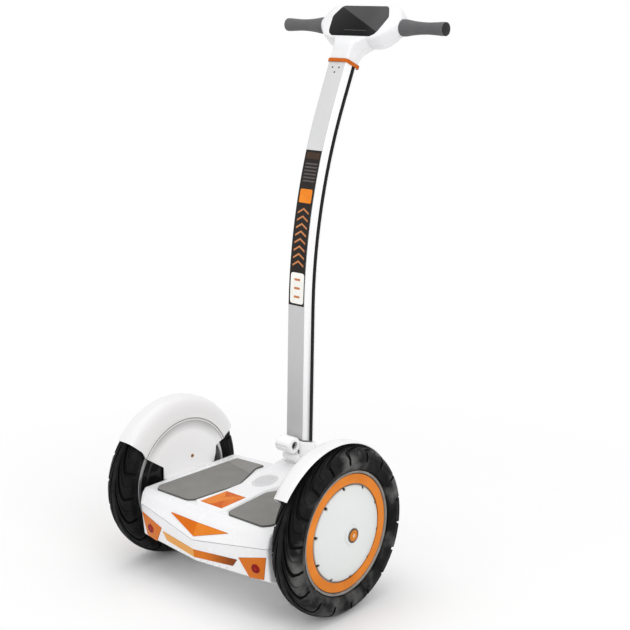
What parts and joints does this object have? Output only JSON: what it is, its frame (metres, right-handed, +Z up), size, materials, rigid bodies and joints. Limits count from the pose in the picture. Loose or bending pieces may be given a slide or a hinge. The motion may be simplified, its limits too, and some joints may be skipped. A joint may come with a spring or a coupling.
{
  "type": "self-balancing scooter",
  "caption": "Stand-on self-balancing scooter with side wheels under half fenders, a white deck with rubber foot mats and a tall curved steering mast.",
  "frame": {"origin": "on the floor under the middle of the whole scooter, mast upright as parked in the picture", "axes": "+Z up along the mast's foot, +Y the way it drives, towards the handlebar's overhang, +X the rider's right"},
  "size_m": [0.5792, 0.5973, 1.2231],
  "materials": {
    "tyre_rubber": "black rubber with a swept tread",
    "cast_rim": "satin cast metal",
    "white_shell": "glossy white",
    "orange_trim": "glossy orange",
    "orange_lens": "clear amber lens over a reflector",
    "red_lens": "prismatic red reflector",
    "black_motor": "glossy black",
    "copper_winding": "varnished windings",
    "steel": "zinc plated",
    "aluminium": "mill finish",
    "mast_paint": "pale grey satin coat",
    "mat_rubber": "matt warm grey with a fine grip pattern",
    "grip_rubber": "matt dark grey",
    "black_rubber": "matt black",
    "black_plastic": "satin black",
    "grille_grey": "pale grey",
    "display_black": "polished black window",
    "circuit_board": "green solder mask",
    "battery_wrap": "blue shrink wrap"
  },
  "bodies": {
    "chassis": {"top_cover": "white_shell", "lower_shell": "white_shell", "mat_right": "mat_rubber", "mat_left": "mat_rubber", "deck_badge": "orange_trim", "speaker_grille": "grille_grey", "speaker": "black_plastic", "rear_triangle": "orange_trim", "light_strip": "orange_lens", "lamp_right": "orange_lens", "lamp_left": "orange_lens", "reflector_right": "red_lens", "reflector_left": "red_lens", "fender_right": "white_shell", "fender_left": "white_shell", "chassis_frame": "steel", "battery_pack": "battery_wrap", "control_board": "circuit_board", "heat_sink": "aluminium", "foot_switch_right": "black_rubber", "foot_switch_left": "black_rubber", "pivot_bracket": "aluminium", "pivot_pin": "steel", "centring_spring": "steel", "lean_sensor": "black_plastic", "stator_right": "copper_winding", "stator_left": "copper_winding", "axle_right": "steel", "axle_left": "steel", "charge_socket": "black_plastic"},
    "wheel_right": {"tyre_right": "tyre_rubber", "rim_right": "cast_rim", "rim_ring_right": "orange_trim", "wheel_cover_right": "white_shell", "motor_cover_right": "black_motor", "hub_cap_right": "orange_trim"},
    "wheel_left": {"tyre_left": "tyre_rubber", "rim_left": "cast_rim", "rim_ring_left": "orange_trim", "wheel_cover_left": "white_shell", "motor_cover_left": "black_motor", "hub_cap_left": "orange_trim"},
    "mast": {"mast_tube": "mast_paint", "side_trim_right": "black_plastic", "side_trim_left": "black_plastic", "mast_socket": "white_shell", "clamp_bolt": "steel", "collar_ring": "orange_trim", "head_rear": "white_shell", "head_front": "white_shell", "stem_insert": "aluminium", "display_glass": "display_black", "display_board": "circuit_board", "mast_cable": "black_rubber", "handlebar_tube": "aluminium", "grip_right": "grip_rubber", "grip_left": "grip_rubber", "grip_cap_right": "black_rubber", "grip_cap_left": "black_rubber"},
    "charge_cover": {"charge_cap": "black_rubber"}
  },
  "joints": [
    {"name": "wheel_right_spin", "type": "hinge", "parent": "chassis", "child": "wheel_right", "pos_m": [0.246, -0.1187, 0.18], "axis": [1, 0, 0], "continuous": true},
    {"name": "wheel_left_spin", "type": "hinge", "parent": "chassis", "child": "wheel_left", "pos_m": [-0.246, -0.1187, 0.18], "axis": [1, 0, 0], "continuous": true},
    {"name": "mast_lean", "type": "hinge", "parent": "chassis", "child": "mast", "pos_m": [0, 0.0363, 0.215], "axis": [0, 1, 0], "range_deg": [-12, 12], "stiffness_Nm_per_rad": 60},
    {"name": "charge_cap_hinge", "type": "hinge", "parent": "chassis", "child": "charge_cover", "pos_m": [0.1, 0.0603, 0.1482], "axis": [1, 0, 0], "range_deg": [0, 110]}
  ]
}
